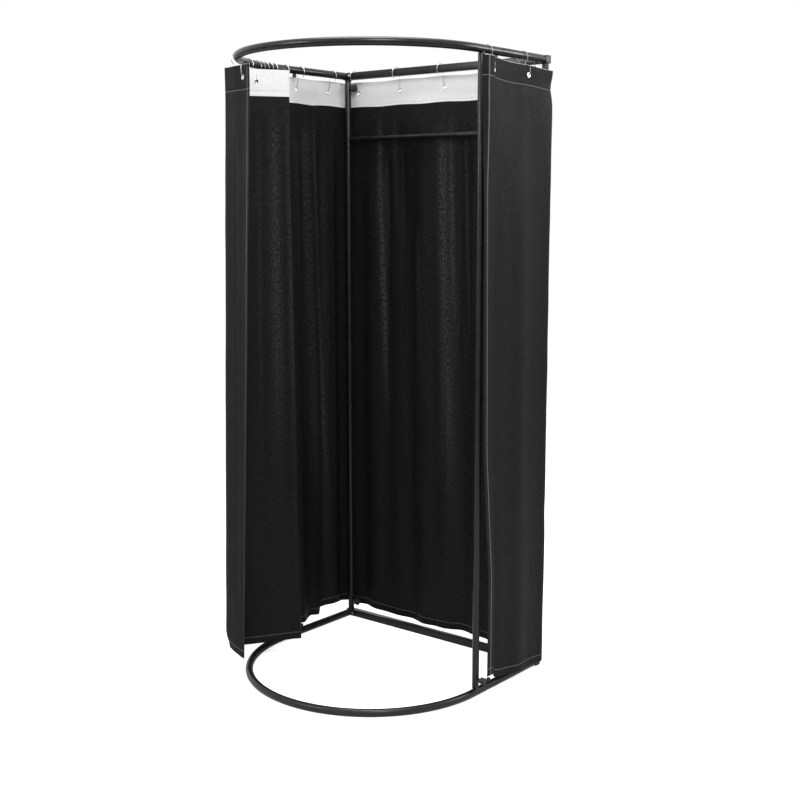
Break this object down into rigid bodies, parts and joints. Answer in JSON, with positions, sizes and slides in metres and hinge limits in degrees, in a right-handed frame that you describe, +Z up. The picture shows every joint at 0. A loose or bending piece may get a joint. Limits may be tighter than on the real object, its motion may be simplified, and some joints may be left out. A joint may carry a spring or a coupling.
{
  "type": "portable fitting room",
  "caption": "Free-standing changing cubicle: a black knock-down tube frame, half-round in front, with black curtains on wire hooks and a clothes rail.",
  "frame": {"origin": "on the floor, under the middle of the whole object's box", "axes": "+Z up, the curved front with its curtain faces -Y, the square rear tubes run along X"},
  "size_m": [0.9844, 0.8234, 2.0076],
  "materials": {
    "frame": "satin black powder coat",
    "knobs": "moulded black",
    "caps": "moulded black",
    "bolts": "bright zinc plate",
    "wire": "bright wire",
    "curtain": "black woven cloth with a pale header tape inside"
  },
  "bodies": {
    "frame": {"back_left_post": "frame", "back_right_post": "frame", "back_wall_curtain": "curtain", "back_wall_hook_1": "wire", "back_wall_hook_2": "wire", "back_wall_hook_3": "wire", "back_wall_hook_4": "wire", "back_wall_hook_5": "wire", "base_back_tube": "frame", "base_hoop": "frame", "base_left_corner_bolt": "bolts", "base_left_end_cap": "caps", "base_left_joint_screw": "knobs", "base_left_tube": "frame", "base_right_corner_bolt": "bolts", "base_right_end_cap": "caps", "base_right_joint_screw": "knobs", "base_right_tube": "frame", "clothes_rail": "frame", "front_fold_1": "curtain", "front_hook_1": "wire", "front_left_post": "frame", "front_right_post": "frame", "left_wall_curtain": "curtain", "left_wall_hook_1": "wire", "left_wall_hook_2": "wire", "left_wall_hook_3": "wire", "right_wall_curtain": "curtain", "right_wall_hook_1": "wire", "right_wall_hook_2": "wire", "top_back_tube": "frame", "top_hoop": "frame", "top_left_corner_bolt": "bolts", "top_left_end_cap": "caps", "top_left_joint_screw": "knobs", "top_left_tube": "frame", "top_right_corner_bolt": "bolts", "top_right_end_cap": "caps", "top_right_joint_screw": "knobs", "top_right_tube": "frame"},
    "back_left_foot_knob": {"back_left_foot_knob": "knobs"},
    "back_left_head_knob": {"back_left_head_knob": "knobs"},
    "back_right_foot_knob": {"back_right_foot_knob": "knobs"},
    "back_right_head_knob": {"back_right_head_knob": "knobs"},
    "front_2": {"front_fold_2": "curtain", "front_hook_2": "wire"},
    "front_3": {"front_fold_3": "curtain", "front_hook_3": "wire"},
    "front_4": {"front_fold_4": "curtain", "front_hook_4": "wire"},
    "front_5": {"front_fold_5": "curtain", "front_hook_5": "wire"},
    "front_6": {"front_fold_6": "curtain", "front_hook_6": "wire"},
    "front_7": {"front_fold_7": "curtain", "front_hook_7": "wire"},
    "front_left_foot_knob": {"front_left_foot_knob": "knobs"},
    "front_left_head_knob": {"front_left_head_knob": "knobs"},
    "front_right_foot_knob": {"front_right_foot_knob": "knobs"},
    "front_right_head_knob": {"front_right_head_knob": "knobs"}
  },
  "joints": [
    {"name": "curtain_draw", "type": "hinge", "parent": "frame", "child": "front_2", "pos_m": [0.03936, 0.01326, 1.9], "axis": [0, 0, 1], "range_deg": [0, 25.22]},
    {"name": "curtain_draw_3", "type": "hinge", "parent": "front_2", "child": "front_3", "pos_m": [0.03936, 0.01326, 1.9], "axis": [0, 0, 1], "range_deg": [0, 25.12]},
    {"name": "curtain_draw_4", "type": "hinge", "parent": "front_3", "child": "front_4", "pos_m": [0.03936, 0.01326, 1.9], "axis": [0, 0, 1], "range_deg": [0, 25.22]},
    {"name": "curtain_draw_5", "type": "hinge", "parent": "front_4", "child": "front_5", "pos_m": [0.03936, 0.01326, 1.9], "axis": [0, 0, 1], "range_deg": [0, 25.07]},
    {"name": "curtain_draw_6", "type": "hinge", "parent": "front_5", "child": "front_6", "pos_m": [0.03936, 0.01326, 1.9], "axis": [0, 0, 1], "range_deg": [0, 20.02]},
    {"name": "curtain_draw_7", "type": "hinge", "parent": "front_6", "child": "front_7", "pos_m": [0.03936, 0.01326, 1.9], "axis": [0, 0, 1], "range_deg": [0, 8.37]},
    {"name": "back_left_foot_knob_turn", "type": "hinge", "parent": "frame", "child": "back_left_foot_knob", "pos_m": [-0.37314, 0.37576, 0.0545], "axis": [1, 0, 0], "continuous": true},
    {"name": "back_left_head_knob_turn", "type": "hinge", "parent": "frame", "child": "back_left_head_knob", "pos_m": [-0.37314, 0.37576, 1.9455], "axis": [1, 0, 0], "continuous": true},
    {"name": "back_right_foot_knob_turn", "type": "hinge", "parent": "frame", "child": "back_right_foot_knob", "pos_m": [0.45186, 0.37576, 0.0545], "axis": [-1, 0, 0], "continuous": true},
    {"name": "back_right_head_knob_turn", "type": "hinge", "parent": "frame", "child": "back_right_head_knob", "pos_m": [0.45186, 0.37576, 1.9455], "axis": [-1, 0, 0], "continuous": true},
    {"name": "front_left_foot_knob_turn", "type": "hinge", "parent": "frame", "child": "front_left_foot_knob", "pos_m": [-0.37314, 0.02926, 0.0545], "axis": [-1, 0, 0], "continuous": true},
    {"name": "front_left_head_knob_turn", "type": "hinge", "parent": "frame", "child": "front_left_head_knob", "pos_m": [-0.37314, 0.02926, 1.9455], "axis": [-1, 0, 0], "continuous": true},
    {"name": "front_right_foot_knob_turn", "type": "hinge", "parent": "frame", "child": "front_right_foot_knob", "pos_m": [0.45186, 0.02926, 0.0545], "axis": [1, 0, 0], "continuous": true},
    {"name": "front_right_head_knob_turn", "type": "hinge", "parent": "frame", "child": "front_right_head_knob", "pos_m": [0.45186, 0.02926, 1.9455], "axis": [1, 0, 0], "continuous": true}
  ],
  "couplings": [
    {"joint": "curtain_draw_3", "follows": "curtain_draw", "ratio": 0.99603},
    {"joint": "curtain_draw_4", "follows": "curtain_draw", "ratio": 1},
    {"joint": "curtain_draw_5", "follows": "curtain_draw", "ratio": 0.99405},
    {"joint": "curtain_draw_6", "follows": "curtain_draw", "ratio": 0.79379},
    {"joint": "curtain_draw_7", "follows": "curtain_draw", "ratio": 0.3318}
  ]
}
